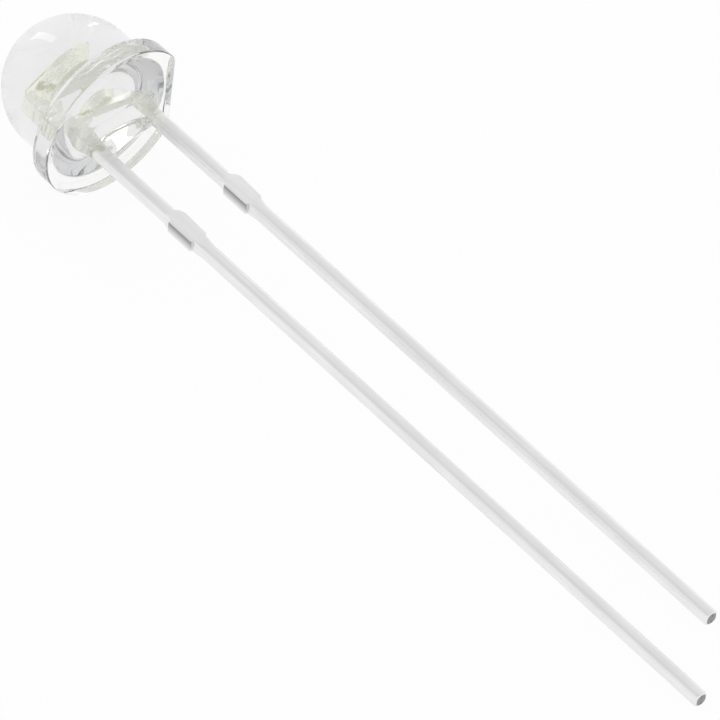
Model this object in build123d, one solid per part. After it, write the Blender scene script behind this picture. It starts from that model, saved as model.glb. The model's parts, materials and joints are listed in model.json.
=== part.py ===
from build123d import *
import math
import os

# A two lead indicator light with a clear cast body, of the wide angle kind that has a broad flange.
# A stamped and tinned strip gives both leads. Inside the body one lead ends in a round reflector cup
# that holds the die, and the other in a post. Two gold wires join the die to them, and a drop of
# phosphor fills the cup. The clear resin is cast round all of it, with the leads pointing up, so the
# base is the free surface of the resin: a shallow dish that climbs each lead and the gap between them.
# Every piece is drawn upright, the dome up, the base at z = 0 and the cathode on the +X side.
# At the end the whole light is laid down as it comes to rest: on the flange's rim and the lead tips.

# Leads and their stamped strip, in millimetres
lead_pitch = 2.54
lead_width = 0.50
strip_thickness = 0.50
strip_edge_radius = 0.05
cathode_lead_length = 27.6
anode_lead_length = 29.9
tip_chamfer = 0.10
cathode_stub_depth = 4.91
anode_stub_depth = 5.13
stub_length = 1.50
stub_ramp = 0.50
stub_reach = 0.19
stub_back_reach = 0.09
post_corner_radius = 0.06

# Cast body
flange_radius = 2.90
flange_thickness = 0.75
flange_edge_chamfer = 0.06
flat_offset = 2.45
barrel_radius = 2.40
barrel_height = 1.35
barrel_root_chamfer = 0.08
rim_width = 0.20
rim_slope = 0.30
dish_depth = 0.16
cathode_meniscus_height = 0.62
anode_meniscus_height = 1.15
meniscus_spread = 0.50
web_thickness = 0.36
web_crest_radius = 0.12

# Reflector cup on the cathode side, centred on the body's axis
frame_top = 2.44
cup_height = 0.56
cup_rim_radius = 0.84
cup_foot_radius = 0.56
cup_wall = 0.11
cup_depth = 0.40
cup_floor_radius = 0.36
cup_sink = 0.10

# Anvil under the cup, and the anode's post
anvil_depth = 0.26
anvil_reach = 0.48
anvil_shoulder = 1.10
anvil_knee = 0.85
anvil_outer_inset = 0.42
post_gap = 0.24
post_head_width = 0.40
post_shoulder = 1.80
post_knee = 0.60
post_foot_height = 1.20
post_foot_reach = 0.36

# Die, its glue, the phosphor and the bond wires
die_side = 0.34
die_height = 0.12
die_ledge = 0.11
die_ledge_depth = 0.03
pad_radius = 0.045
pad_height = 0.01
glue_height = 0.02
glue_margin = 0.03
phosphor_crown = 0.10
wire_diameter = 0.036
ball_radius = 0.042
ball_height = 0.035
loop_height = 0.20
loop_slope = 0.20
stitch_length = 0.10
stitch_squash = 0.007
stitch_room = 0.40

# Places that follow from the sizes
lead_outer = lead_pitch / 2 + lead_width / 2
lead_inner = lead_pitch / 2 - lead_width / 2
barrel_top = flange_thickness + barrel_height
body_height = barrel_top + barrel_radius
cup_foot = frame_top - cup_height
cup_floor = frame_top - cup_depth
anvil_bottom = cup_foot - anvil_depth
post_inner = cup_rim_radius + post_gap
die_foot = cup_floor + glue_height
die_top = die_foot + die_height
cup_mouth_radius = cup_rim_radius - cup_wall

# Two flat faces count as one plane within this distance, and rounds until the resting angles settle
SAME_PLANE = 1e-6
SETTLING_ROUNDS = 5

# How a shape drawn at the origin stands on that point or hangs from it
STANDING = (Align.CENTER, Align.CENTER, Align.MIN)
HANGING = (Align.CENTER, Align.CENTER, Align.MAX)


def filled(*edges):
    """One flat face from edges that close a loop in the upright X-Z plane."""
    return make_face(Curve() + list(edges))


def point(across, height):
    """A point of the upright X-Z plane."""
    return Vector(across, 0, height)


def ring(*profile_edges, centre=(0, 0)):
    """A solid of revolution about the upright axis through the centre, from its half section."""
    solid = revolve(filled(*profile_edges), Axis.Z)
    return Pos(centre[0], centre[1], 0) * solid


def path(*corners):
    """Straight edges through the corners, closed back to the first."""
    return [Line(a, b) for a, b in zip(corners, corners[1:] + corners[:1])]


def stamped(corners, rounded):
    """A piece of strip: an outline in the X-Z plane, given its thickness, with rolled edges.

    Corners is the list of outline points, and rounded the numbers of those that the punch rounds.
    """
    face = filled(*path(*[point(*corner) for corner in corners]))
    for number in rounded:
        face = fillet(face.vertices().sort_by_distance(point(*corners[number]))[0], post_corner_radius)
    blank = extrude(face, strip_thickness / 2, dir=(0, 1, 0), both=True)
    rims = [edge for edge in blank.edges() if abs(abs(edge.center().Y) - strip_thickness / 2) < SAME_PLANE]
    return fillet(rims, strip_edge_radius)


def lead_outline(length, stub_depth):
    """A lead's outline below the base, down its +X side, round the tip and up its other side.

    Points are across from the lead's own centre line, and height. The stub is the rest of the bar
    that joined the leads until they were cut apart, and it keeps the base off a circuit board. On
    the +X side it swells gently and was cut square below, and behind it is a small lip.
    """
    half = lead_width / 2
    out, back = half + stub_reach, half + stub_back_reach
    top, bottom = stub_length / 2 - stub_depth, -stub_length / 2 - stub_depth
    near_tip = tip_chamfer - length
    return [
        (half, top), (out, top - stub_ramp), (out, bottom), (half, bottom),
        (half, near_tip), (half - tip_chamfer, -length),
        (tip_chamfer - half, -length), (-half, near_tip),
        (-half, bottom), (-back, bottom), (-back, top), (-half, top),
    ]


def make_cathode_lead():
    """The cathode side of the strip with its anvil, and the round cup that is coined on top."""
    outline = lead_outline(cathode_lead_length, cathode_stub_depth)
    corners = [
        (-anvil_reach, anvil_bottom),
        (-anvil_reach, cup_foot),
        (lead_outer - anvil_outer_inset, cup_foot),
        (lead_outer, anvil_shoulder),
        *[(lead_pitch / 2 + across, height) for across, height in outline],
        (lead_inner, anvil_knee),
    ]
    strip = stamped(corners, [0, 1])
    cup = ring(*path(
        point(0, cup_foot - cup_sink),
        point(cup_foot_radius, cup_foot),
        point(cup_rim_radius, frame_top),
        point(cup_mouth_radius, frame_top),
        point(cup_floor_radius, cup_floor),
        point(0, cup_floor),
    ))
    return strip + cup


def make_anode_lead():
    """The anode side of the strip with its post, whose head takes the wire beside the cup."""
    outline = lead_outline(anode_lead_length, anode_stub_depth)
    corners = [
        (-post_inner, frame_top),
        (-post_inner, cup_foot),
        (post_foot_reach - lead_inner, post_foot_height),
        (-lead_inner, post_knee),
        *[(across - lead_pitch / 2, height) for across, height in outline],
        (-lead_outer, post_shoulder),
        (-post_inner - post_head_width, frame_top),
    ]
    return stamped(corners, [0, 2])


def crown(radius, foot, rise):
    """An arc of the half section, level at the axis, from its edge up to the axis, or down to it."""
    bow = (radius ** 2 + rise ** 2) / (2 * rise)
    half_turn = math.asin(radius / bow) / 2
    middle = point(bow * math.sin(half_turn), foot + rise - bow * (1 - math.cos(half_turn)))
    return ThreePointArc(point(radius, foot), middle, point(0, foot + rise))


def make_die():
    """The die: a clear block with one stepped side, and a pad on each of its two levels."""
    block = Pos(0, 0, die_foot + die_height / 2) * Box(die_side, die_side, die_height)
    ledge_centre = (die_side - die_ledge) / 2
    step = Pos(ledge_centre, 0, die_top - die_ledge_depth / 2) * Box(die_ledge, die_side, die_ledge_depth)
    die = block - step
    for place in (anode_pad(), cathode_pad()):
        die += Pos(*place) * Cylinder(pad_radius, pad_height, align=STANDING)
    return die


def anode_pad():
    """Foot of the pad on the die's upper level, towards the anode."""
    return (die_ledge - die_side) / 2, (die_ledge - die_side) / 2, die_top


def cathode_pad():
    """Foot of the pad on the die's stepped level, towards the cathode."""
    return (die_side - die_ledge) / 2, (die_side - die_ledge) / 2, die_top - die_ledge_depth


def make_glue():
    """The square of glue that holds the die to the cup's floor."""
    side = die_side + 2 * glue_margin
    return Pos(0, 0, cup_floor + glue_height / 2) * Box(side, side, glue_height)


def make_wire(pad, landing):
    """A bond wire: a ball on the pad, a rise, a level run, a slope, and a stitch that is pressed flat.

    It is as thin as a hair, so its kinks are plain mitres.

    Pad is the foot of the die's pad, and landing the middle of the stitch, on a level face at
    frame_top. The stitch lies in line with the run.
    """
    start = Vector(*pad) + Vector(0, 0, pad_height)
    seat = Vector(*landing, frame_top + wire_diameter / 2 - stitch_squash)
    level = Vector(seat.X - start.X, seat.Y - start.Y, 0).normalized()
    loop_top = frame_top + loop_height
    rise = Vector(start.X, start.Y, loop_top)
    touch = seat - level * (stitch_length / 2)
    crest = Vector(touch.X, touch.Y, loop_top) - level * loop_slope
    spine = Polyline(start, rise, crest, touch, seat + level * (stitch_length / 2))
    section = Plane(origin=start, z_dir=(0, 0, 1)) * Circle(wire_diameter / 2)
    wire = sweep(section, spine, transition=Transition.RIGHT)
    shelf = Pos(*landing, frame_top) * Box(stitch_room, stitch_room, wire_diameter, align=HANGING)
    return wire - shelf + Pos(*start) * Cylinder(ball_radius, ball_height, align=STANDING)


def make_phosphor():
    """The phosphor as poured: what the cup holds, with a low crown."""
    return ring(
        Line(point(0, cup_floor), point(cup_floor_radius, cup_floor)),
        Line(point(cup_floor_radius, cup_floor), point(cup_mouth_radius, frame_top)),
        crown(cup_mouth_radius, frame_top, phosphor_crown),
        Line(point(0, frame_top + phosphor_crown), point(0, cup_floor)),
    )


def broken_corners(face, corners):
    """The face with some corners cut at 45 degrees: corners holds pairs of a point and a length."""
    for place, length in corners:
        face = chamfer(face.vertices().sort_by_distance(place)[0], length)
    return face


def make_mould_shape():
    """What the mould gives the body: flange, barrel and dome in one turn, and the flange's flat."""
    half_section = filled(
        Line(point(0, 0), point(flange_radius, 0)),
        Line(point(flange_radius, 0), point(flange_radius, flange_thickness)),
        Line(point(flange_radius, flange_thickness), point(barrel_radius, flange_thickness)),
        Line(point(barrel_radius, flange_thickness), point(barrel_radius, barrel_top)),
        crown(barrel_radius, barrel_top, barrel_radius),
        Line(point(0, body_height), point(0, 0)),
    )
    half_section = broken_corners(half_section, [
        (point(flange_radius, 0), flange_edge_chamfer),
        (point(flange_radius, flange_thickness), flange_edge_chamfer),
        (point(barrel_radius, flange_thickness), barrel_root_chamfer),
    ])
    beyond_flat = Pos(flat_offset, 0, 0) * Box(flange_radius, 2 * flange_radius, 2 * body_height,
                                               align=(Align.MIN, Align.CENTER, Align.CENTER))
    return revolve(half_section, Axis.Z) - beyond_flat


def make_dish():
    """The hollow of the base: a low dome of air inside the rim, which also keeps clear of the flat."""
    radius = flange_radius - rim_width
    below = -dish_depth
    air = ring(
        Line(point(0, below), point(radius, below)),
        Line(point(radius, below), point(radius, 0)),
        crown(radius, 0, dish_depth),
        Line(point(0, dish_depth), point(0, below)),
    )
    edge = flat_offset - rim_width
    wedge = filled(*path(
        point(edge, below),
        point(edge, 0),
        point(edge - dish_depth / rim_slope, dish_depth),
        point(-flange_radius, dish_depth),
        point(-flange_radius, below),
    ))
    return air & extrude(wedge, flange_radius, dir=(0, 1, 0), both=True)


def make_meniscus(lead_across, height):
    """Resin that climbs a lead: a ring whose hollow side flares from the lead's corners to the dish."""
    root = math.hypot(lead_width / 2, strip_thickness / 2)
    climb = height + dish_depth
    nearer = 1 - math.sqrt(0.5)
    return ring(
        Line(point(0, -height), point(root, -height)),
        ThreePointArc(point(root, -height),
                      point(root + meniscus_spread * nearer, dish_depth - climb * nearer),
                      point(root + meniscus_spread, dish_depth)),
        Line(point(root + meniscus_spread, dish_depth), point(0, dish_depth)),
        Line(point(0, dish_depth), point(0, -height)),
        centre=(lead_across, 0),
    )


def make_web():
    """Resin that the narrow gap between the leads draws up: a thin wall from lead to lead.

    Its crest runs straight from one meniscus to the other and is rounded along both edges.
    """
    outline = filled(*path(
        point(-lead_pitch / 2, -anode_meniscus_height),
        point(lead_pitch / 2, -cathode_meniscus_height),
        point(lead_pitch / 2, dish_depth),
        point(-lead_pitch / 2, dish_depth),
    ))
    wall = extrude(outline, web_thickness / 2, dir=(0, 1, 0), both=True)
    middle = point(0, -(anode_meniscus_height + cathode_meniscus_height) / 2)
    return fillet(wall.edges().sort_by_distance(middle)[:2], web_crest_radius)


def make_body(inner_pieces):
    """The clear body: the mould's shape with the poured base, cast round the pieces inside it."""
    body = make_mould_shape() - make_dish() + make_web()
    body += make_meniscus(-lead_pitch / 2, anode_meniscus_height)
    body += make_meniscus(lead_pitch / 2, cathode_meniscus_height)
    for piece in inner_pieces:
        body -= piece
    return body


def resting_angles():
    """Tilt and roll in degrees at which the flange's rim and both lead tips touch a level floor.

    The tilt lifts the dome end, because the flange reaches further out than the leads are thick.
    The roll makes up for the leads' unequal lengths, so it lowers the shorter one, the cathode's.
    """
    mean_length = (cathode_lead_length + anode_lead_length) / 2
    roll = 0
    for _ in range(SETTLING_ROUNDS):
        flat_half = strip_thickness / 2 - strip_edge_radius
        reach = flat_half * (math.cos(roll) + math.sin(roll)) + strip_edge_radius
        tilt = math.atan((flange_radius - reach) / mean_length)
        roll = math.asin((anode_lead_length - cathode_lead_length) * math.tan(tilt) / lead_pitch)
    return math.degrees(tilt), math.degrees(roll)


def laid_down(pieces):
    """The pieces as the light rests, the dome towards +Y, over the middle of the floor they cover."""
    tilt, roll = resting_angles()
    turned = {name: Rot(X=tilt - 90) * Rot(Z=roll) * piece for name, piece in pieces.items()}
    box = Compound(list(turned.values())).bounding_box()
    move = Pos(-box.center().X, -box.center().Y, -box.min.Z)
    return {name: move * piece for name, piece in turned.items()}


def make_light():
    """Every piece of the light, upright, by name."""
    post_middle = -post_inner - post_head_width / 2
    rim_middle = cup_rim_radius - cup_wall / 2
    embedded = {
        "cathode_lead": make_cathode_lead(),
        "anode_lead": make_anode_lead(),
        "die_attach": make_glue(),
        "led_chip": make_die(),
        "bond_wire_anode": make_wire(anode_pad(), (post_middle, 0)),
        "bond_wire_cathode": make_wire(cathode_pad(), (rim_middle, 0)),
    }
    phosphor = make_phosphor()
    for piece in embedded.values():
        phosphor -= piece
    embedded["phosphor_fill"] = phosphor
    return {"lens_body": make_body(embedded.values()), **embedded}


os.makedirs("parts", exist_ok=True)
for name, piece in laid_down(make_light()).items():
    export_step(piece, f"parts/{name}.step")
    print(name, round(piece.volume, 5), "mm3")
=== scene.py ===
# %% [markdown]
# # A clear indicator light with two leads
#
# The object is a small light for circuit boards: a clear cast body with a dome and a broad flange,
# and two long square leads of tinned strip. It lies on a white table, on its flange and its lead tips.
# Most of what the eye reads in it is not on its surface but inside, bent by the resin. So the plan is
# to model the real inner pieces and the real outer surface well, and let the glass shader do the rest.
# The first cell loads the packed model, whose nodes give the place and the outer size of all of it.

import json
import math

import bmesh
import bpy
import numpy as np
from mathutils import Matrix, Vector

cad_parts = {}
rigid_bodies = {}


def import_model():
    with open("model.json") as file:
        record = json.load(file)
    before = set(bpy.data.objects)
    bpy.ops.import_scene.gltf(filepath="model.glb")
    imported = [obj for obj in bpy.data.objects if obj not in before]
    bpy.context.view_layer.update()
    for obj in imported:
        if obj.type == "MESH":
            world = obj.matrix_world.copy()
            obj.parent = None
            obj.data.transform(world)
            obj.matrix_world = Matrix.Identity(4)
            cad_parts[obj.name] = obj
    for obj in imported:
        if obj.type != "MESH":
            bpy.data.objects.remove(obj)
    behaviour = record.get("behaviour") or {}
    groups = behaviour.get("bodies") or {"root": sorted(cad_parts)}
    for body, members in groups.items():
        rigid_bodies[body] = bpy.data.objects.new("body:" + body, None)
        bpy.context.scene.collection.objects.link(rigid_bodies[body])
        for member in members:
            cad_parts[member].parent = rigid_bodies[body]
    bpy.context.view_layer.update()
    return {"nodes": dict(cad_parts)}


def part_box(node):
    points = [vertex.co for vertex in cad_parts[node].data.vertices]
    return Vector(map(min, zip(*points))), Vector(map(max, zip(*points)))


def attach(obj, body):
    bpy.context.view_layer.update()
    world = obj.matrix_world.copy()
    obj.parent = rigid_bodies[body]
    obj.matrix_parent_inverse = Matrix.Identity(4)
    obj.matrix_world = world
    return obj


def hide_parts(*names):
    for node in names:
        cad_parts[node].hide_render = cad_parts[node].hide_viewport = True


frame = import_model()
NODES = frame["nodes"]

# %% [markdown]
# ## The sizes that the pieces share
#
# Each piece is drawn upright, in millimetres, as its drawing shows it: the dome up, the base at
# height 0, the leads below it, and the cathode's lead on the +X side, next to the flange's flat. Only
# the sizes that more than one piece needs stand here. The others stand in the cell that uses them.

# %% Shared sizes of the light, in millimetres
PITCH = 2.54
STRIP = 0.50
STRIP_EDGE = 0.05
CATHODE_LENGTH = 27.6
ANODE_LENGTH = 29.9
FLANGE_RADIUS = 2.90
FLANGE_THICKNESS = 0.75
FLANGE_EDGE = 0.06
FLAT_OFFSET = 2.45
BARREL_RADIUS = 2.40
BARREL_TOP = 2.10
FRAME_TOP = 2.44

print("body:", 2 * BARREL_RADIUS, "wide,", BARREL_TOP + BARREL_RADIUS, "high; flange:", 2 * FLANGE_RADIUS)

# %% [markdown]
# ## Laying the light down
#
# On a table such a light rests on three points, its rim and its two lead tips, and so it is tilted and
# a little rolled. One function lays upright points down in that way. An object's own rotation could
# do the same, but a pattern or an export that works on the mesh would then see another piece than the
# eye does, so the place is worked into the mesh itself.

# %% Lay a piece down
SETTLING_ROUNDS = 5


def resting_angles():
    """Tilt and roll in radians. The tilt's tangent is the rim's radius less the strip's reach below its
    own axis, over the leads' mean length. The roll evens out the leads' unequal lengths:
    sin(roll) = (longer - shorter) * tan(tilt) / pitch. Each needs the other, so they settle in rounds."""
    roll = 0.0
    for _ in range(SETTLING_ROUNDS):
        reach = (STRIP / 2 - STRIP_EDGE) * (math.cos(roll) + math.sin(roll)) + STRIP_EDGE
        tilt = math.atan((FLANGE_RADIUS - reach) * 2 / (CATHODE_LENGTH + ANODE_LENGTH))
        roll = math.asin((ANODE_LENGTH - CATHODE_LENGTH) * math.tan(tilt) / PITCH)
    return tilt, roll


TILT, ROLL = resting_angles()
UPRIGHT_TO_LAID = np.array([
    [math.cos(ROLL), -math.sin(ROLL), 0],
    [math.sin(TILT) * math.sin(ROLL), math.sin(TILT) * math.cos(ROLL), math.cos(TILT)],
    [-math.cos(TILT) * math.sin(ROLL), -math.cos(TILT) * math.cos(ROLL), math.sin(TILT)],
])


def base_centre():
    """The base's centre in the frame, in millimetres: from the body's box, less what lies beyond it."""
    low, high = (1000 * np.array(corner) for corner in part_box("lens_body"))
    height = FLANGE_RADIUS * math.cos(TILT) - FLANGE_EDGE * math.sin(TILT)
    along = high[1] - BARREL_RADIUS - BARREL_TOP * math.cos(TILT)
    return np.array([low[0] + FLANGE_RADIUS, along, low[2] + height])


BASE_CENTRE = base_centre()


def laid(points):
    """Upright millimetres, an array of rows, as metres in the frame."""
    return (np.asarray(points, float) @ UPRIGHT_TO_LAID.T + BASE_CENTRE) / 1000


print("tilt and roll in degrees:", round(math.degrees(TILT), 2), round(math.degrees(ROLL), 2))
print("base centre in mm:", BASE_CENTRE.round(3))

# %% [markdown]
# ## From a grid of points to faces
#
# A surface is worked out as a grid: rows of points that each go once round, from one end of the piece
# to the other. Neighbouring points make the quads, and each end is closed by triangles to one point in
# its middle, so that the shell is watertight. Counting the corners as whole arrays keeps this quick
# for a fine grid, where a loop over the vertices would take longer than the rendering.

# %% Faces of a grid
def ring_quads(rows, around):
    """Quads between neighbouring rows of points that each close on themselves."""
    row, step = np.meshgrid(np.arange(rows - 1), np.arange(around), indexing="ij")
    after = (step + 1) % around
    quads = [row * around + step, row * around + after, (row + 1) * around + after, (row + 1) * around + step]
    return np.stack(quads, -1).reshape(-1, 4)


def end_fan(centre, row, around):
    """Triangles from a centre point to one row."""
    step = np.arange(around)
    return np.stack([np.full(around, centre), row * around + step, row * around + (step + 1) % around], -1)


print("a grid of 2 rows of 4 points has", len(ring_quads(2, 4)), "quads round it")
print("and", len(end_fan(8, 0, 4)), "triangles at each end")

# %% [markdown]
# ## From faces to a piece
#
# Each piece also keeps its upright place as an attribute, and the materials read that: streaks that
# run along a lead then follow it, although it lies askew in the frame. A second attribute says where
# the strip's bare steel shows. Painting it by place in the shader would work too, but a cut is an
# edge of the shape, and the shape's own points know best where that is.

# %% Grid to piece
POINTS_TOUCH = 2e-8
SOFT_CORNER = 40


def store_attributes(mesh, points, bare):
    """Keeps each point's upright place and its bareness with the mesh, for the materials."""
    upright = mesh.attributes.new("upright", "FLOAT_VECTOR", "POINT")
    upright.data.foreach_set("vector", points.astype(np.float32).ravel())
    mesh.attributes.new("bare", "FLOAT", "POINT").data.foreach_set("value", bare.astype(np.float32))


def clean_up(mesh, smooth_below):
    """Merges points that touch, turns the faces outwards and shades bends below an angle smoothly."""
    cleaner = bmesh.new()
    cleaner.from_mesh(mesh)
    bmesh.ops.remove_doubles(cleaner, verts=cleaner.verts, dist=POINTS_TOUCH)
    bmesh.ops.recalc_face_normals(cleaner, faces=cleaner.faces)
    cleaner.to_mesh(mesh)
    cleaner.free()
    mesh.shade_smooth()
    mesh.set_sharp_from_angle(angle=math.radians(smooth_below))


def make_piece(name, grid, bareness=None, smooth_below=SOFT_CORNER):
    """A mesh object from one closed shell in upright mm, whose grid has the shape rows, around, 3.
    Bareness has a number for each point of the grid, from 0 for plated to 1 for a bare cut."""
    rows, around, _ = grid.shape
    if bareness is None:
        bareness = np.zeros((rows, around))
    points = np.concatenate([grid.reshape(-1, 3), grid[[0, -1]].mean(1)])
    bare = np.concatenate([bareness.ravel(), bareness[[0, -1]].mean(1)])
    first_end, last_end = rows * around, rows * around + 1
    faces = ring_quads(rows, around).tolist()
    faces += end_fan(first_end, 0, around).tolist() + end_fan(last_end, rows - 1, around).tolist()
    mesh = bpy.data.meshes.new(name)
    mesh.from_pydata(laid(points).tolist(), [], faces)
    store_attributes(mesh, points, bare)
    clean_up(mesh, smooth_below)
    piece = bpy.data.objects.new(name, mesh)
    bpy.context.scene.collection.objects.link(piece)
    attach(piece, "root")
    print(name, "has", len(mesh.polygons), "faces")
    return piece


# %% [markdown]
# ## The clear body: the poured base
#
# The real body is cast: resin is poured into a polished mould with the leads hanging in it, dome down.
# The mould gives a glassy dome, barrel and flange. The base is the free surface of the resin, which
# pulls up at the wall and at each lead as water does in a glass, and stays up between the leads as a
# low web. That hollow, bright surface is what the photograph looks through, so it is worked out in
# full, as a height over the base. A flat base would be simpler, and would look like window glass.

# %% Height of the poured base
DISH_DEPTH = 0.16
CATHODE_CLIMB = 0.62
ANODE_CLIMB = 1.15
WEB_HALF = 0.05
WEB_SPREAD = 0.22
COLLAR_SPREAD = 0.10
COLLAR_REACH = 0.45
FALL_POWER = 3
RIM_POWER = 6


def poured_height(across, through, share):
    """Height of the free surface, where down is towards the leads. The dish is a paraboloid in share,
    the way from centre to rim. Along the line from lead to lead the resin stands proud, higher at the
    anode, and falls off to each side as 1 / (1 + (distance / spread) ** power). The spread grows by a
    bell curve near each lead, and the crest dies out at the rim as 1 - share ** power."""
    dish = DISH_DEPTH * (1 - share ** 2)
    along = np.clip(across / PITCH + 0.5, 0, 1)
    beyond = np.maximum(np.abs(across) - PITCH / 2, 0)
    aside = np.maximum(np.abs(through) - WEB_HALF, 0)
    distance = np.hypot(beyond, aside)
    crest = ANODE_CLIMB + (CATHODE_CLIMB - ANODE_CLIMB) * along + DISH_DEPTH
    near_lead = np.minimum(np.abs(across - PITCH / 2), np.abs(across + PITCH / 2))
    spread = WEB_SPREAD + COLLAR_SPREAD * np.exp(-(near_lead / COLLAR_REACH) ** 2)
    return dish - crest / (1 + (distance / spread) ** FALL_POWER) * (1 - share ** RIM_POWER)


print("resin at the axis, in mm:", round(float(poured_height(0.0, 0.0, 0.0)), 3))

# %% [markdown]
# ## The clear body: the whole skin
#
# One grid covers all of it, from the dome's crown down over barrel and flange and in to the base's
# centre. In the flange each row is drawn in to the flat. A lathe profile with a Boolean for the flat
# would leave long thin triangles there, and they show as scratches in clear glass.

# %% Skin of the body
RIM_WIDTH = 0.20
RIM_ROUND = 0.05
BARREL_ROOT = 0.08
FLAT_SHARPNESS = 90
AROUND = 352
DOME_ROWS, BARREL_ROWS, LEDGE_ROWS, WALL_ROWS, BASE_ROWS, BEND_ROWS = 84, 10, 5, 8, 128, 7
CROWN_TURN = 89.4
CENTRE_SHARE = 0.006


def flange_reach(angle):
    """The flange's radius at each angle: a circle and the flat's line, with the lesser one winning
    smoothly. The p-norm of the two curvatures rounds the corner where they meet."""
    toward_flat = np.maximum(np.cos(angle), 0) / FLAT_OFFSET
    return (FLANGE_RADIUS ** -FLAT_SHARPNESS + toward_flat ** FLAT_SHARPNESS) ** (-1 / FLAT_SHARPNESS)


def column(start, end, count):
    """Evenly spaced numbers as a column, one for each row of the grid."""
    return np.linspace(start, end, count)[:, None]


def body_grid():
    """The skin in bands of rows, each given by its distance from the axis and its height. A bend is a
    quarter circle: radius times cosine and sine of a turn. The flange's bands change with the angle."""
    angle = np.linspace(0, 2 * np.pi, AROUND, endpoint=False)
    reach = flange_reach(angle)
    room = reach - BARREL_RADIUS
    root = np.minimum(BARREL_ROOT, room / 2)
    edge = np.minimum(FLANGE_EDGE, room / 2)
    inner = reach - RIM_WIDTH
    dome = np.radians(column(CROWN_TURN, 0, DOME_ROWS))
    fillet = np.radians(column(180, 270, BEND_ROWS)[1:])
    upper, lower = np.radians(column(90, 0, BEND_ROWS)), np.radians(column(0, -90, BEND_ROWS))
    ledge = column(0, 1, LEDGE_ROWS)[1:-1]
    share = column(1, CENTRE_SHARE, BASE_ROWS)
    pool = inner * share
    bands = [
        (BARREL_RADIUS * np.cos(dome), BARREL_TOP + BARREL_RADIUS * np.sin(dome)),
        (BARREL_RADIUS, column(BARREL_TOP, FLANGE_THICKNESS + BARREL_ROOT, BARREL_ROWS)[1:]),
        (BARREL_RADIUS + root * (1 + np.cos(fillet)), FLANGE_THICKNESS + root * (1 + np.sin(fillet))),
        (BARREL_RADIUS + root + (room - root - edge) * ledge, FLANGE_THICKNESS),
        (reach - edge * (1 - np.cos(upper)), FLANGE_THICKNESS - edge * (1 - np.sin(upper))),
        (reach, column(FLANGE_THICKNESS - FLANGE_EDGE, FLANGE_EDGE, WALL_ROWS)[1:-1]),
        (reach - FLANGE_EDGE * (1 - np.cos(lower)), FLANGE_EDGE * (1 + np.sin(lower))),
        (inner + RIM_ROUND, 0.0),
        (pool, poured_height(pool * np.cos(angle), pool * np.sin(angle), share)),
    ]
    level = np.zeros((1, AROUND))
    bands = [np.broadcast_arrays(*band, level)[:2] for band in bands]
    out, up = (np.concatenate(rows) for rows in zip(*bands))
    return np.stack([out * np.cos(angle), out * np.sin(angle), up], -1)


resin_body = make_piece("resin_body", body_grid(), smooth_below=60)

# %% [markdown]
# ## The section of a lead
#
# Both leads are stamped from one strip and rolled, so a cut through one is a square with round
# corners. Near an end it draws in on all sides. All the sections of a lead are worked out at once. An
# extruded outline with a Bevel would do too, but its bevels collide in the narrow inner corners.

# %% Section of the strip
CORNER_POINTS = 9


def rolled_sections(left, right, inset, edge):
    """Points (across, through) round a rolled rectangle, for all heights at once. It lies between left
    and right, is drawn in on both faces by inset, and its corners are quarter circles of radius edge."""
    left, right, inset, edge = (np.reshape(value, (-1, 1)) for value in (left, right, inset, edge))
    corners = []
    for side, face, first in ((1, 1, 0), (-1, 1, 90), (-1, -1, 180), (1, -1, 270)):
        turn = np.radians(np.linspace(first, first + 90, CORNER_POINTS))
        middle = right - edge if side > 0 else left + edge
        depth = (STRIP / 2 - inset - edge) * face
        corners.append(np.stack([middle + edge * np.cos(turn), depth + edge * np.sin(turn)], -1))
    return np.concatenate(corners, axis=1)


def end_inset(distance, radius):
    """How far a rounded end draws in at a distance from its tip: the sagitta of a quarter circle."""
    short = np.clip(radius - distance, 0, radius)
    return radius - np.sqrt(radius ** 2 - short ** 2)


print("points round a lead:", rolled_sections(-STRIP / 2, STRIP / 2, 0, STRIP_EDGE).shape[1])

# %% [markdown]
# ## The stubs
#
# Until they are cut apart, all the leads of a strip hang together on a bar. Where that bar was cut, a
# stub stays on each lead: on one side a long swelling, on the other a small square lip with a bare cut
# face. The stub also keeps the crisp edges of the stamping, while the plating wears those of the shaft
# round. So three short functions say what is special there, and the lead takes them as it goes.

# %% Stub, edges and bare cuts
STUB_LENGTH = 1.50
SHAFT_EDGE, STAMPED_EDGE, EDGE_RUN = 0.17, 0.06, 0.06
SWELL_START, SWELL_FULL, SWELL_BACK, SWELL_END = 0.10, 0.22, 0.20, 0.14
SWELL_LOW, SWELL_HIGH = 0.095, 0.145
LIP_SHORT, LIP_REACH = 0.20, 0.09
CUT_STEP = 0.004
TIP_BARE = 0.004
LIP_FADE = (1.6, -1.2)


def stub_ends(stub_depth, short=0.0):
    """The lower and upper height of a stub, or of the lip on its back, which is shorter."""
    return short - STUB_LENGTH / 2 - stub_depth, STUB_LENGTH / 2 - stub_depth - short


def stub_front(stub_depth):
    """The +X side of a lead: the stub swells quickly, tapers gently and ends short."""
    low, high = stub_ends(stub_depth)
    half = STRIP / 2
    return [(low + SWELL_START, half), (low + SWELL_FULL, half + SWELL_LOW),
            (high - SWELL_BACK, half + SWELL_HIGH), (high + SWELL_END, half)]


def stub_back(stub_depth):
    """The -X side of a lead: a small lip, square at both ends."""
    low, high = stub_ends(stub_depth, LIP_SHORT)
    half, out = STRIP / 2, STRIP / 2 + LIP_REACH
    return [(low - CUT_STEP, -half), (low, -out), (high, -out), (high + CUT_STEP, -half)]


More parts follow.
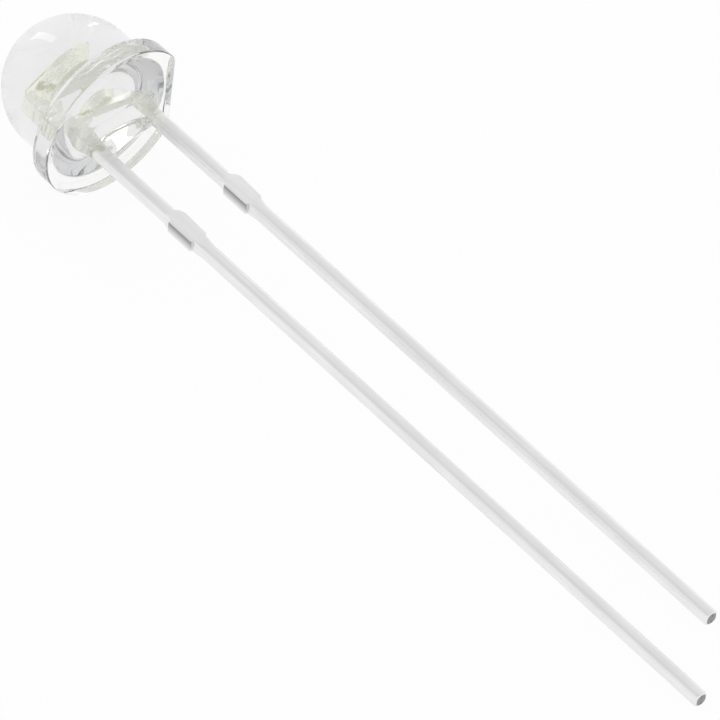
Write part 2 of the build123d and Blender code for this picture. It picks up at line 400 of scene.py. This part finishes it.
def edge_radius(heights, stub_depth):
    """The radius of the strip's long edges: worn round by plating on the shaft below the stub, and
    crisp, as stamped, on the stub and inside the body. It goes over within a short run."""
    reach = STUB_LENGTH / 2 + EDGE_RUN
    marks = [-stub_depth - reach, -stub_depth - reach + EDGE_RUN, -stub_depth + reach - EDGE_RUN,
             -stub_depth + reach, -EDGE_RUN * 2, -EDGE_RUN]
    radii = [SHAFT_EDGE, STAMPED_EDGE, STAMPED_EDGE, SHAFT_EDGE, SHAFT_EDGE, STAMPED_EDGE]
    return np.interp(heights, marks, radii)


def cut_shares(heights, tip, stub_depth):
    """How bare each point of a lead is: the end is a bare cut, and so is the stub's small lip, where it
    is darkest along its upper edge and fades round the corner."""
    shares = np.zeros((len(heights), 4 * CORNER_POINTS))
    shares[heights < tip + TIP_BARE] = 1
    low, high = stub_ends(stub_depth, LIP_SHORT)
    lip = (heights >= low - CUT_STEP) & (heights <= high)
    fade = np.clip(np.linspace(*LIP_FADE, CORNER_POINTS), 0, 1)
    shares[np.ix_(lip, np.arange(2 * CORNER_POINTS, 3 * CORNER_POINTS))] = fade
    return shares


print("a stub's lip is", round(np.ptp(stub_ends(0, LIP_SHORT)), 2), "mm long")

# %% [markdown]
# ## A lead from its outline
#
# A lead is a rolled section whose width changes along it, so one function makes all of it: at each
# height it takes the left and right limits of the outline and puts a section between them. The heights
# lie close together where the outline turns, so that corners stay crisp, and far apart on the shaft.

# %% Lead from an outline
TIP_ROUND = 0.10
TIP_ROUND_THROUGH = 0.06
LEAD_STATIONS = 110
TURN_STATIONS = (-0.03, -0.012, 0, 0.012, 0.03)
TIP_STATIONS = (0.03, 0.09, 0.18, 0.30)
BEND_STATIONS = [1 - math.cos(math.radians(turn)) for turn in range(0, 91, 15)]


def lead_heights(marks, tip, top):
    """The heights of a lead's sections: even ones, and close ones at both ends and at each mark."""
    stations = [tip + TIP_ROUND * bend for bend in BEND_STATIONS]
    stations += [top - STRIP_EDGE * bend for bend in BEND_STATIONS]
    stations += [mark + step for mark in marks for step in TURN_STATIONS]
    stations += [tip + step for step in TIP_STATIONS] + list(np.linspace(tip, top, LEAD_STATIONS))
    return np.array(sorted({round(h, 5) for h in stations if tip <= h <= top}))


def stamped_lead(name, left_line, right_line, tip, top, stub_depth):
    """A lead between two outlines, each a list of (height, across) from the tip up."""
    heights = lead_heights({height for height, _ in left_line + right_line}, tip, top)
    top_inset = end_inset(top - heights, STRIP_EDGE)
    side_inset = end_inset(heights - tip, TIP_ROUND) + top_inset
    left = np.interp(heights, *zip(*left_line)) + side_inset
    right = np.interp(heights, *zip(*right_line)) - side_inset
    face_inset = end_inset(heights - tip, TIP_ROUND_THROUGH) + top_inset
    sections = rolled_sections(left, right, face_inset, edge_radius(heights, stub_depth))
    up = np.broadcast_to(heights[:, None, None], sections.shape[:2] + (1,))
    return make_piece(name, np.concatenate([sections, up], -1), cut_shares(heights, tip, stub_depth))


print("sections in a turn of the outline:", len(TURN_STATIONS))

# %% [markdown]
# ## The two leads
#
# Below the body the leads are the same but for their length and the place of the stub. Inside it they
# differ: the cathode's widens into the anvil that carries the cup, and the anode's into a post for
# the wire. Both outlines are read from the photograph through the resin, so they are simple.

# %% Outlines of the leads
CATHODE_STUB_DEPTH = 4.91
ANODE_STUB_DEPTH = 5.13
LEAD_OUTER = PITCH / 2 + STRIP / 2
LEAD_INNER = PITCH / 2 - STRIP / 2
CUP_FOOT = FRAME_TOP - 0.56
ANVIL_INNER_TURN, ANVIL_NECK, ANVIL_LEFT = 0.85, 0.26, -0.48
ANVIL_OUTER_TURN, ANVIL_LEAN = 1.10, 0.42
POST_OUTER_TURN, POST_LEFT = 1.80, -1.48
POST_INNER_TURN, POST_BULGE_UP, POST_BULGE, POST_RIGHT = 0.60, 1.20, 0.36, -1.08


def shaft_outlines(length, stub_depth, across):
    """Left and right outline of a lead's shaft, from its tip to its stub, round a line at across."""
    left = [(-length, -STRIP / 2)] + stub_back(stub_depth)
    right = [(-length, STRIP / 2)] + stub_front(stub_depth)
    return tuple([(height, across + place) for height, place in line] for line in (left, right))


cathode_left, cathode_right = shaft_outlines(CATHODE_LENGTH, CATHODE_STUB_DEPTH, PITCH / 2)
cathode_left += [(ANVIL_INNER_TURN, LEAD_INNER), (CUP_FOOT - ANVIL_NECK, ANVIL_LEFT), (CUP_FOOT, ANVIL_LEFT)]
cathode_right += [(ANVIL_OUTER_TURN, LEAD_OUTER), (CUP_FOOT, LEAD_OUTER - ANVIL_LEAN)]
cathode_piece = stamped_lead(
    "cathode_strip", cathode_left, cathode_right, -CATHODE_LENGTH, CUP_FOOT, CATHODE_STUB_DEPTH)

anode_left, anode_right = shaft_outlines(ANODE_LENGTH, ANODE_STUB_DEPTH, -PITCH / 2)
anode_left += [(POST_OUTER_TURN, -LEAD_OUTER), (FRAME_TOP, POST_LEFT)]
anode_right += [(POST_INNER_TURN, -LEAD_INNER), (POST_BULGE_UP, -LEAD_INNER + POST_BULGE),
                (CUP_FOOT, POST_RIGHT), (FRAME_TOP, POST_RIGHT)]
anode_piece = stamped_lead(
    "anode_strip", anode_left, anode_right, -ANODE_LENGTH, FRAME_TOP, ANODE_STUB_DEPTH)

# %% [markdown]
# ## The reflector cup
#
# The die sits in a small cup that a punch coins into the anvil's top, and the cup's slanted wall
# throws the die's light forward. It is a lathe shape: its section, turned about the light's axis. The
# section's corners are rounded first, because a punch leaves no sharp ones, and a round corner is what
# catches the light.

# %% Cup
CUP_RIM = 0.84
CUP_MOUTH = 0.73
CUP_FLOOR = 0.36
CUP_FLOOR_UP = FRAME_TOP - 0.40
CUP_FOOT_OUT = 0.56
CUP_SINK, CUP_SHOULDER = 0.08, 0.02
CUP_CORNER = 0.03
NEAR_AXIS = 0.01
BEND_SHARE = 0.45


def turned_grid(section, around=96):
    """A lathe shape: each (out, up) of the section becomes a circle about the light's axis."""
    angle = np.linspace(0, 2 * np.pi, around, endpoint=False)
    out, up = np.array(section, float).T
    return np.stack([
        out[:, None] * np.cos(angle), out[:, None] * np.sin(angle), np.repeat(up[:, None], around, 1)
    ], -1)


def round_corners(section, radius, steps=4):
    """The section with each inner point replaced by a curve that starts radius before it and ends
    radius after it, but never past a share of the run: a quadratic Bezier through the corner."""
    rounded = [section[0]]
    for before, corner, after in zip(section, section[1:], section[2:]):
        before, corner, after = (np.array(p, float) for p in (before, corner, after))
        start = corner + (before - corner) * min(BEND_SHARE, radius / np.linalg.norm(before - corner))
        end = corner + (after - corner) * min(BEND_SHARE, radius / np.linalg.norm(after - corner))
        for t in np.linspace(0, 1, steps + 1):
            rounded.append(tuple(start * (1 - t) ** 2 + corner * 2 * t * (1 - t) + end * t ** 2))
    return rounded + [section[-1]]


cup_section = round_corners([
    (NEAR_AXIS, CUP_FOOT - CUP_SINK), (CUP_FOOT_OUT, CUP_FOOT - CUP_SHOULDER), (CUP_RIM, FRAME_TOP),
    (CUP_MOUTH, FRAME_TOP), (CUP_FLOOR, CUP_FLOOR_UP), (NEAR_AXIS, CUP_FLOOR_UP),
], CUP_CORNER)
cup_piece = make_piece("reflector_cup", turned_grid(cup_section))

# %% [markdown]
# ## The phosphor
#
# The cup is filled with clear resin full of yellow powder, which turns the die's blue into white. It
# stands a little proud of the rim. The fill is one more lathe shape: the cup's own hollow, less a hair
# so that the two skins never lie in one place, and an arc over the mouth.

# %% Fill of the cup
PHOSPHOR_CROWN = 0.10
SKIN_GAP = 0.004
CROWN_POINTS = 14


def fill_section():
    """The cup's hollow, and over its mouth an arc that is level at the axis. The arc's radius follows
    from half the chord and the rise: (chord ** 2 + rise ** 2) / (2 * rise)."""
    bow = (CUP_MOUTH ** 2 + PHOSPHOR_CROWN ** 2) / (2 * PHOSPHOR_CROWN)
    out = np.linspace(CUP_MOUTH - SKIN_GAP, NEAR_AXIS, CROWN_POINTS)
    up = FRAME_TOP + PHOSPHOR_CROWN - bow + np.sqrt(bow ** 2 - out ** 2)
    floor_up = CUP_FLOOR_UP + SKIN_GAP
    return [(NEAR_AXIS, floor_up), (CUP_FLOOR - SKIN_GAP, floor_up)] + list(zip(out, up))


fill_piece = make_piece("phosphor", turned_grid(fill_section()))

# %% [markdown]
# ## Node trees, written down
#
# A material is a small graph. One helper adds a node, sets its inputs and wires what is another node's
# output, so that a finish below reads from top to bottom like the graph from left to right. A value
# that is the same all over goes straight to the shader's own socket, where an export can find it.

# %% Node helper
class Graph:
    """A node tree, with short calls to add to it."""

    def __init__(self, tree):
        self.tree = tree

    def add(self, kind, values=None, **settings):
        """A new node of a kind, with its settings, and its inputs by name or number."""
        node = self.tree.nodes.new("ShaderNode" + kind)
        for name, value in settings.items():
            setattr(node, name, value)
        self.fill(node, values or {})
        return node

    def fill(self, node, values):
        """Sets or links a node's inputs."""
        for name, value in values.items():
            if isinstance(value, bpy.types.NodeSocket):
                self.tree.links.new(value, node.inputs[name])
            else:
                node.inputs[name].default_value = value

    def between(self, value, low, high, to_low=0.0, to_high=1.0):
        """The value's range from low to high, stretched to another range and held there."""
        inputs = {"Value": value, "From Min": low, "From Max": high, "To Min": to_low, "To Max": to_high}
        return self.add("MapRange", inputs).outputs["Result"]

    def math(self, operation, a, b=0.0):
        """A sum, product or other operation on two numbers."""
        return self.add("Math", {0: a, 1: b}, operation=operation).outputs[0]


print("node helper ready, for Blender", bpy.app.version_string)

# %% [markdown]
# ## Everyday nodes of a finish
#
# Nearly all finishes here are made of the same few steps: a place, a noise over it, a colour between
# two, and a bump. They read the upright attribute, or, on a small CAD piece, Object coordinates in
# millimetres. A real surface is never even, so no finish of the light is the same all over.

# %% Finish helper
NOISE_LOW, NOISE_HIGH = 0.3, 0.7


class Finish(Graph):
    """A node material. Its shader and its output come ready."""

    def __init__(self, name):
        self.material = bpy.data.materials.new(name)
        self.material.use_nodes = True
        super().__init__(self.material.node_tree)
        self.shader = self.tree.nodes["Principled BSDF"]
        self.output = self.tree.nodes["Material Output"]
        print("finish:", name)

    def upright(self):
        """The piece's upright place in millimetres, from its attribute."""
        return self.add("Attribute", attribute_name="upright").outputs["Vector"]

    def object_place(self):
        """The place in the frame, in millimetres."""
        return self.scaled(self.add("TexCoord").outputs["Object"], (1000, 1000, 1000))

    def scaled(self, vector, scale):
        """The vector times a scale for each axis."""
        return self.add("Mapping", {"Vector": vector, "Scale": scale}).outputs["Vector"]

    def noise(self, vector, scale, detail=3.0, roughness=0.5):
        """Noise from 0 to 1 over a vector."""
        inputs = {"Vector": vector, "Scale": scale, "Detail": detail, "Roughness": roughness}
        return self.add("TexNoise", inputs).outputs["Fac"]

    def spread(self, noise, to_low=0.0, to_high=1.0):
        """Noise seldom leaves its middle part, so that part is stretched to the range that is wanted."""
        return self.between(noise, NOISE_LOW, NOISE_HIGH, to_low, to_high)

    def mixed(self, share, a, b):
        """A colour between a and b."""
        node = self.add("Mix", data_type="RGBA")
        self.fill(node, {0: share, 6: a, 7: b})
        return node.outputs[2]

    def bump(self, height, strength, distance, under=None):
        """A normal from a height, with the distance in metres that the height's 1 stands for. It can lie
        over another bump."""
        inputs = {"Height": height, "Strength": strength, "Distance": distance}
        if under:
            inputs["Normal"] = under
        return self.add("Bump", inputs).outputs["Normal"]


print("steps of a finish:", ", ".join(name for name in vars(Finish) if not name.startswith("_")))

# %% [markdown]
# ## Clear resin
#
# Cast epoxy is clear, bends light a little more than acrylic, and has a mould's polish. Up close it is
# never perfect: the skin undulates by microns from shrinkage. A slow noise in the bump gives that
# uneven shine. An absorption gives the thick resin a cool grey, which is painted shade: it is set deep
# enough to stand for the light's shadow on the table, seen through the dome, and so the thick dome
# looks greyer than the thin flange.

# %% Resin finish
RESIN_IOR = 1.53
RESIN_TINT = (0.985, 0.99, 0.98, 1)
# Depth tint and density: painted shade, a grey that stands for the light's shadow on the table, seen through
# the dome.
PAINTED_SHADE_DEPTH_TINT, PAINTED_SHADE_DENSITY = (0.80, 0.80, 0.81, 1), 170.0
SHRINK_WAVES, SHRINK_HEIGHT = 1.3, 0.00002
POLISH_NOISE = 6.0


def clear_resin():
    """Glass with a slow bump, a polish that changes a little, and a grey that grows with depth, which is
    painted shade.
    """
    finish = Finish("clear_resin_finish")
    place = finish.upright()
    waves = finish.noise(place, SHRINK_WAVES, detail=1.0)
    finish.fill(finish.shader, {
        "Base Color": RESIN_TINT,
        "Roughness": finish.spread(finish.noise(place, POLISH_NOISE), 0.0, 0.03),
        "IOR": RESIN_IOR,
        "Transmission Weight": 1.0,
        "Normal": finish.bump(waves, 0.15, SHRINK_HEIGHT),
    })
    # Painted shade: the absorption's grey stands for the shadow under the light, seen through the dome.
    absorb = finish.add("VolumeAbsorption", {"Color": PAINTED_SHADE_DEPTH_TINT, "Density": PAINTED_SHADE_DENSITY})
    finish.tree.links.new(absorb.outputs[0], finish.output.inputs["Volume"])
    return finish.material


resin = clear_resin()

# %% [markdown]
# ## Tinned strip
#
# The leads are steel strip. Outside the body they are dipped in tin, a soft grey white metal with a
# satin surface, drawn into long faint lines by the rolls, and a little uneven where it ran. Inside the
# body the strip keeps its silver, brighter than the tin, with short marks across it from the stamping.
# Its pale yellow-green tint is partly the silver's own warmth and partly painted reflection of the
# phosphor's light.
# The lip of each stub and the tips are bare cuts. One finish holds all of it: the height says where
# tin goes over to silver, the bare attribute says where steel shows, and the upright place lets a
# noise be long in the lead's direction. Two materials would leave a hard line between them.

# %% Tin and silver finish
TIN_SHADE, TIN_LIGHT = (0.82, 0.82, 0.825, 1), (0.91, 0.91, 0.915, 1)
# Silver inside the body: its own warm tone, plus a yellow-green tint that is painted reflection of the
# phosphor's light.
SILVER_PHOSPHOR_TINT_DARK, SILVER_PHOSPHOR_TINT_BRIGHT = (0.92, 0.93, 0.84, 1), (1.0, 1.0, 0.95, 1)
TIN_TONES, LINE_SHARE, BLOTCH_SHARE = (0.35, 0.65), 0.6, 0.4
BARE_STEEL = (0.30, 0.30, 0.29, 1)
TIN_UP_TO, SILVER_FROM = -1.4, -0.2
LINE_SCALE, LINE_HEIGHT = (26, 26, 0.35), 0.000006
BLOTCH_SCALE = (2.2, 2.2, 0.7)
MARK_SCALE, MARK_HEIGHT = (1.7, 1.7, 4.2), 0.00012


def coining_marks(finish, place):
    """Short marks across the strip, as a die leaves them: a noise that is squeezed along the height."""
    return finish.spread(finish.noise(finish.scaled(place, MARK_SCALE), 1.0, detail=4.0))


def tinned_strip():
    """Satin metal. Its tone is lines * their share + blotches * theirs, and the brighter places are the
    smoother ones."""
    finish = Finish("tinned_strip_finish")
    place = finish.upright()
    lines = finish.noise(finish.scaled(place, LINE_SCALE), 1.0, detail=4.0)
    blotches = finish.noise(finish.scaled(place, BLOTCH_SCALE), 1.0)
    tone = finish.math("ADD", finish.math("MULTIPLY", lines, LINE_SHARE),
                       finish.math("MULTIPLY", blotches, BLOTCH_SHARE))
    tin = finish.mixed(finish.between(tone, *TIN_TONES), TIN_SHADE, TIN_LIGHT)
    marks = coining_marks(finish, place)
    # The silver's colours carry painted light: partly its own warm tone, partly the phosphor's light mirrored
    # in it.
    silver = finish.mixed(marks, SILVER_PHOSPHOR_TINT_DARK, SILVER_PHOSPHOR_TINT_BRIGHT)
    inside = finish.between(finish.add("SeparateXYZ", {0: place}).outputs["Z"], TIN_UP_TO, SILVER_FROM)
    cut = finish.add("Attribute", attribute_name="bare").outputs["Fac"]
    rolled = finish.bump(lines, 0.15, LINE_HEIGHT)
    finish.fill(finish.shader, {
        "Base Color": finish.mixed(cut, finish.mixed(inside, tin, silver), BARE_STEEL),
        "Metallic": 1.0,
        "Roughness": finish.spread(tone, 0.40, 0.28),
        "Normal": finish.bump(finish.math("MULTIPLY", marks, inside), 0.5, MARK_HEIGHT, under=rolled),
    })
    return finish.material


strip_finish = tinned_strip()

# %% [markdown]
# ## Bright plating and phosphor
#
# The cup is coined and keeps the strip's bright plating, smoother than the rest because the punch
# pressed it. Its colour has the silver's pale yellow-green tint, partly painted reflection of the
# phosphor's light. Phosphor is a chalky yellow powder in clear resin: light goes in a little way and
# comes out yellower, which is what subsurface scattering does. A plain yellow would look like paint.

# %% Cup and phosphor finish
# Cup colours: silver's warm tone plus a painted yellow-green reflection of the phosphor's light.
CUP_PHOSPHOR_TINT_DARK, CUP_PHOSPHOR_TINT_BRIGHT = (0.92, 0.93, 0.82, 1), (1.0, 1.0, 0.93, 1)
PUNCH_GRAIN = (9, 9, 4)
POWDER_SHADE, POWDER_LIGHT = (0.95, 0.92, 0.42, 1), (0.98, 0.97, 0.62, 1)
POWDER_NOISE, POWDER_HEIGHT = 30.0, 0.00001
POWDER_DEPTH = 0.0003


def bright_plating():
    """Polished silver with the die's marks in it, its yellow-green tint partly painted reflection of the
    phosphor's light.
    """
    finish = Finish("bright_plating_finish")
    place = finish.upright()
    grain = finish.noise(finish.scaled(place, PUNCH_GRAIN), 1.0, detail=4.0)
    marks = coining_marks(finish, place)
    finish.fill(finish.shader, {
        "Base Color": finish.mixed(marks, CUP_PHOSPHOR_TINT_DARK, CUP_PHOSPHOR_TINT_BRIGHT),
        "Metallic": 1.0,
        "Roughness": finish.spread(grain, 0.12, 0.24),
        "Normal": finish.bump(marks, 0.5, MARK_HEIGHT),
    })
    return finish.material


def phosphor_in_resin():
    """Grainy powder that lets light in by a third of a millimetre."""
    finish = Finish("phosphor_finish")
    grains = finish.noise(finish.upright(), POWDER_NOISE, detail=4.0)
    finish.fill(finish.shader, {
        "Base Color": finish.mixed(grains, POWDER_SHADE, POWDER_LIGHT),
        "Roughness": 0.35,
        "Subsurface Weight": 0.5,
        "Subsurface Scale": POWDER_DEPTH,
        "Normal": finish.bump(grains, 0.3, POWDER_HEIGHT),
    })
    return finish.material


plating, powder = bright_plating(), phosphor_in_resin()

# %% [markdown]
# ## Die, glue and wires
#
# These are the smallest pieces: a crystal a third of a millimetre wide, the paste that holds it, and
# two gold wires finer than a hair. Their CAD meshes are right as they are, so they keep them and only
# take a finish. They have no upright attribute and read Object coordinates instead.

# %% Finishes of the small pieces
CRYSTAL_SHADE, CRYSTAL_LIGHT, CRYSTAL_NOISE = (0.55, 0.62, 0.70, 1), (0.70, 0.76, 0.82, 1), 18.0
GLUE_SHADE, GLUE_LIGHT, GLUE_NOISE = (0.62, 0.60, 0.52, 1), (0.74, 0.72, 0.64, 1), 14.0
GOLD_SHADE, GOLD_LIGHT, GOLD_NOISE = (0.88, 0.74, 0.46, 1), (0.96, 0.86, 0.62, 1), 40.0


def die_crystal():
    """A polished, blue grey crystal with a thin clear coat."""
    finish = Finish("die_crystal_finish")
    fine = finish.noise(finish.object_place(), CRYSTAL_NOISE)
    finish.fill(finish.shader, {
        "Base Color": finish.mixed(fine, CRYSTAL_SHADE, CRYSTAL_LIGHT),
        "Roughness": 0.12,
        "Coat Weight": 0.5,
    })
    return finish.material


def die_glue():
    """Dull paste with silver flakes."""
    finish = Finish("die_glue_finish")
    fine = finish.noise(finish.object_place(), GLUE_NOISE)
    finish.fill(finish.shader, {
        "Base Color": finish.mixed(fine, GLUE_SHADE, GLUE_LIGHT),
        "Roughness": finish.spread(fine, 0.35, 0.5),
    })
    return finish.material


def gold_wire():
    """Drawn gold, a little uneven in its shine."""
    finish = Finish("gold_wire_finish")
    fine = finish.noise(finish.object_place(), GOLD_NOISE)
    finish.fill(finish.shader, {
        "Base Color": finish.mixed(fine, GOLD_SHADE, GOLD_LIGHT),
        "Metallic": 1.0,
        "Roughness": finish.spread(fine, 0.18, 0.3),
    })
    return finish.material


gold = gold_wire()

# %% [markdown]
# ## Each piece gets its finish
#
# A new piece says which CAD node it stands for, and the frame then hides that node. The real leads
# and cup are one strip.

# %% Dress the pieces
def dress(piece, material, slot, *replaced):
    """Puts a finish on a piece and says which CAD nodes it stands for. The slot is not used."""
    piece.data.materials.clear()
    piece.data.materials.append(material)
    if replaced:
        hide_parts(*replaced)
    print(piece.name, "takes", material.name)


dress(resin_body, resin, "clear_resin", "lens_body")
dress(cathode_piece, strip_finish, "tinned_steel", "cathode_lead")
dress(cup_piece, plating, "tinned_steel", "cathode_lead")
dress(anode_piece, strip_finish, "tinned_steel", "anode_lead")
dress(fill_piece, powder, "phosphor", "phosphor_fill")
dress(NODES["led_chip"], die_crystal(), "die_crystal")
dress(NODES["die_attach"], die_glue(), "die_glue")
dress(NODES["bond_wire_anode"], gold, "gold_wire")
dress(NODES["bond_wire_cathode"], gold, "gold_wire")

# %% [markdown]
# ## Table
#
# Clear things show their surroundings more than their surface, so the studio matters as much as the
# piece. Its first part is a white table that every ray sees as white. More light would whiten it too,
# but would bleach the metal. So the table glows, only for rays that look at it straight, by
# reflection or through the resin, and keeps a small share of real shading for the light's shadow.

# %% White table
TABLE_HALF = 0.6
TABLE_WHITE = (0.95, 0.95, 0.95, 1)
TABLE_GLOW = 0.94


def white_table():
    """A square that mixes a plain matt white with a glow of strength 1."""
    mesh = bpy.data.meshes.new("table")
    corners = [(-TABLE_HALF, -TABLE_HALF, 0), (TABLE_HALF, -TABLE_HALF, 0),
               (TABLE_HALF, TABLE_HALF, 0), (-TABLE_HALF, TABLE_HALF, 0)]
    mesh.from_pydata(corners, [], [(0, 1, 2, 3)])
    table = bpy.data.objects.new("table", mesh)
    bpy.context.scene.collection.objects.link(table)
    finish = Finish("table_finish")
    finish.fill(finish.shader, {"Base Color": TABLE_WHITE, "Roughness": 0.8})
    path = finish.add("LightPath").outputs
    seen = finish.math("MAXIMUM", finish.math("MAXIMUM", path["Is Camera Ray"], path["Is Glossy Ray"]),
                       path["Is Transmission Ray"])
    glow = finish.add("Emission", {"Color": (1, 1, 1, 1), "Strength": 1.0})
    mix = finish.add("MixShader", {0: finish.math("MULTIPLY", seen, TABLE_GLOW)})
    finish.tree.links.new(finish.shader.outputs[0], mix.inputs[1])
    finish.tree.links.new(glow.outputs[0], mix.inputs[2])
    finish.tree.links.new(mix.outputs[0], finish.output.inputs["Surface"])
    mesh.materials.append(finish.material)


white_table()

# %% [markdown]
# ## Sky
#
# The second part of the studio is a soft sky. A square lead mirrors a different part of it with each
# face, so an even sky would leave the leads flat. This one is bright up to some height and then goes
# over to grey overhead, as a studio with white walls and a darker ceiling does: the top faces stay
# pale, and the rounded near edges, which mirror the ceiling, draw the thin grey line of the photograph.

# %% Soft sky
SKY_LOW, SKY_HIGH = 1.0, 0.70
SKY_TURN = 0.4


def soft_sky():
    """A world whose brightness falls evenly with the sine of the elevation, from a turning height up."""
    world = bpy.data.worlds.new("studio")
    bpy.context.scene.world = world
    world.use_nodes = True
    sky = Graph(world.node_tree)
    direction = sky.add("TexCoord").outputs["Generated"]
    rise = sky.add("SeparateXYZ", {0: direction}).outputs["Z"]
    sky.fill(sky.tree.nodes["Background"], {
        "Color": sky.between(rise, SKY_TURN, 1.0, SKY_LOW, SKY_HIGH),
        "Strength": 1.0,
    })
    print("sky:", SKY_LOW, "low and", SKY_HIGH, "overhead")


soft_sky()

# %% [markdown]
# ## Lamps
#
# Two soft boxes give the dome its highlights: a tall one behind the light, whose image is the broad
# gleam at the upper left, and a narrow one at the side for the streak near the crown. Each is placed by
# the direction that the dome mirrors to the camera at that spot. They are only a little brighter than
# the sky, because a strong lamp would burn out the pale metal.

# %% Soft boxes
LAMP_DISTANCE = 0.3


def placed(right, up, back, place):
    """A 4 by 4 matrix from three axes and a place."""
    matrix = np.eye(4)
    matrix[:3, 0], matrix[:3, 1], matrix[:3, 2], matrix[:3, 3] = right, up, back, place
    return Matrix(matrix.tolist())


def soft_lamp(name, azimuth, elevation, aim, width, height, radiance):
    """A rectangular area lamp that looks at a point. Azimuth turns from +Y towards +X, in degrees. The
    power of a lamp that shines with a radiance is that radiance times pi times its area."""
    az, el = math.radians(azimuth), math.radians(elevation)
    back = np.array([math.sin(az) * math.cos(el), math.cos(az) * math.cos(el), math.sin(el)])
    right = np.cross([0, 0, 1], back)
    right /= np.linalg.norm(right)
    light = bpy.data.lights.new(name, "AREA")
    light.shape = "RECTANGLE"
    light.size, light.size_y = width, height
    light.energy = radiance * math.pi * width * height
    lamp = bpy.data.objects.new(name, light)
    bpy.context.scene.collection.objects.link(lamp)
    lamp.matrix_world = placed(right, np.cross(back, right), back, aim + back * LAMP_DISTANCE)
    print(name, "has", round(light.energy, 4), "W")


middle_of_light = np.mean(np.array([list(corner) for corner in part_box("lens_body")]), axis=0)
soft_lamp("tall_box", azimuth=8, elevation=27, aim=middle_of_light, width=0.05, height=0.22, radiance=1.4)
soft_lamp("side_box", azimuth=54, elevation=8, aim=middle_of_light, width=0.02, height=0.12, radiance=1.4)

# %% [markdown]
# ## Camera
#
# The picture was taken from far away with a long lens, from above on the anode's side, with the leads
# running away to the lower right. A long distance keeps the two leads nearly parallel in the picture.
# The angles were fitted to the outlines of dome, flange and leads, and the lens follows from the
# distance and the width of the field. Clear resin also turns light round inside, many times over, so
# the light paths get more bounces than the preset: with the preset number the paths end too early, and
# black crescents show in the flange.

# %% Camera
AZIMUTH, ELEVATION, CAMERA_ROLL = -38.903, 46.070, -2.610
AIM_MM = np.array([-0.2222, 0.0425, 1.7111])
DISTANCE_MM = 300
FIELD_MM = 23.0
SENSOR_MM = 36
NEAR_CLIP, FAR_CLIP = 0.01, 5
BOUNCES = 24


def photo_camera():
    """A camera that looks at the aim from azimuth and elevation, turned by the roll. Its focal length is
    sensor * distance / field."""
    az, el, roll = (math.radians(v) for v in (AZIMUTH, ELEVATION, CAMERA_ROLL))
    back = np.array([math.sin(az) * math.cos(el), -math.cos(az) * math.cos(el), math.sin(el)])
    level = np.cross([0, 0, 1], back)
    level /= np.linalg.norm(level)
    over = np.cross(back, level)
    right = math.cos(roll) * level + math.sin(roll) * over
    data = bpy.data.cameras.new("camera")
    data.sensor_width = SENSOR_MM
    data.lens = SENSOR_MM * DISTANCE_MM / FIELD_MM
    data.clip_start, data.clip_end = NEAR_CLIP, FAR_CLIP
    camera = bpy.data.objects.new("camera", data)
    bpy.context.scene.collection.objects.link(camera)
    camera.matrix_world = placed(right, np.cross(back, right), back, (AIM_MM + back * DISTANCE_MM) / 1000)
    bpy.context.scene.camera = camera
    print("lens in mm:", round(data.lens, 2))


photo_camera()
bpy.context.scene.view_settings.view_transform = "Standard"
cycles = bpy.context.scene.cycles
cycles.max_bounces = cycles.transmission_bounces = cycles.glossy_bounces = BOUNCES

# %% [markdown]
# ## Size
#
# The looks must not change the size.
